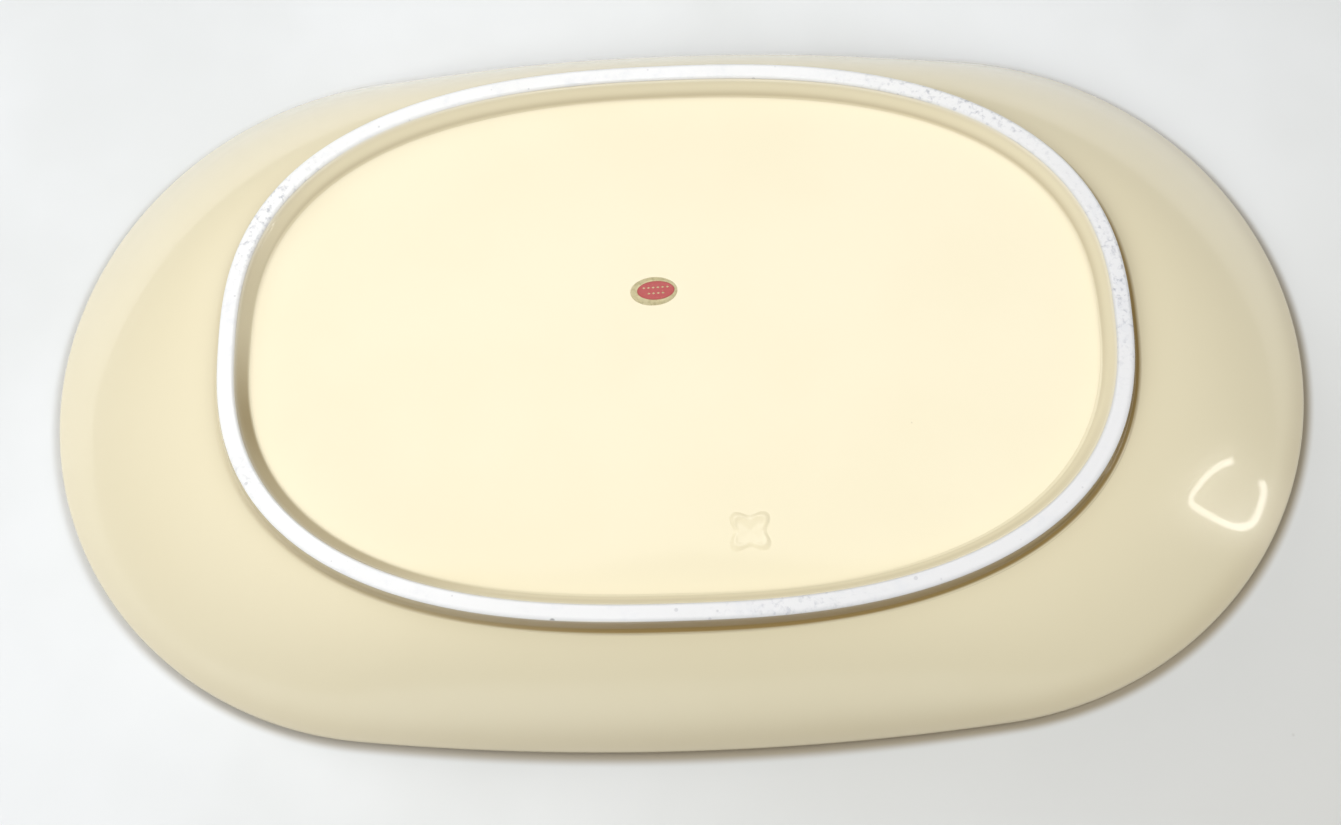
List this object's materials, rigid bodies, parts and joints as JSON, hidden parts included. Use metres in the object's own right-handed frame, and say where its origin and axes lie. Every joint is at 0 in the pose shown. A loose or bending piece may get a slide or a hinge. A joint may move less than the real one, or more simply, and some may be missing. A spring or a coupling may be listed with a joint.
{
  "type": "oval serving dish",
  "caption": "Shallow oval serving dish in cream-glazed porcelain with a raised foot ring, a bare bearing edge and a small oval foil label, stored upside down on its rim.",
  "frame": {"origin": "middle of the plane that the rim rests on, in the upside-down resting pose, which is the bottom centre of the bounding box", "axes": "+X along the dish's length, +Y across it, +Z out of the foot's bearing edge, away from the food side; for use at the table the dish is turned half a turn about X"},
  "size_m": [0.4, 0.24, 0.046],
  "materials": {
    "cream_glaze": "glossy warm cream glaze, slightly pooled at the corners, with faint waviness",
    "bare_clay": "ground, unglazed white body with small grey kiln specks",
    "gold_foil": "dull gold foil on paper",
    "red_print": "satin red printed field with a plain gold ornament"
  },
  "bodies": {
    "root": {"dish_shell": "cream_glaze", "foot_ring": "cream_glaze", "bearing_edge": "bare_clay", "moulded_mark": "cream_glaze", "label_foil": "gold_foil", "label_print": "red_print"}
  },
  "joints": []
}
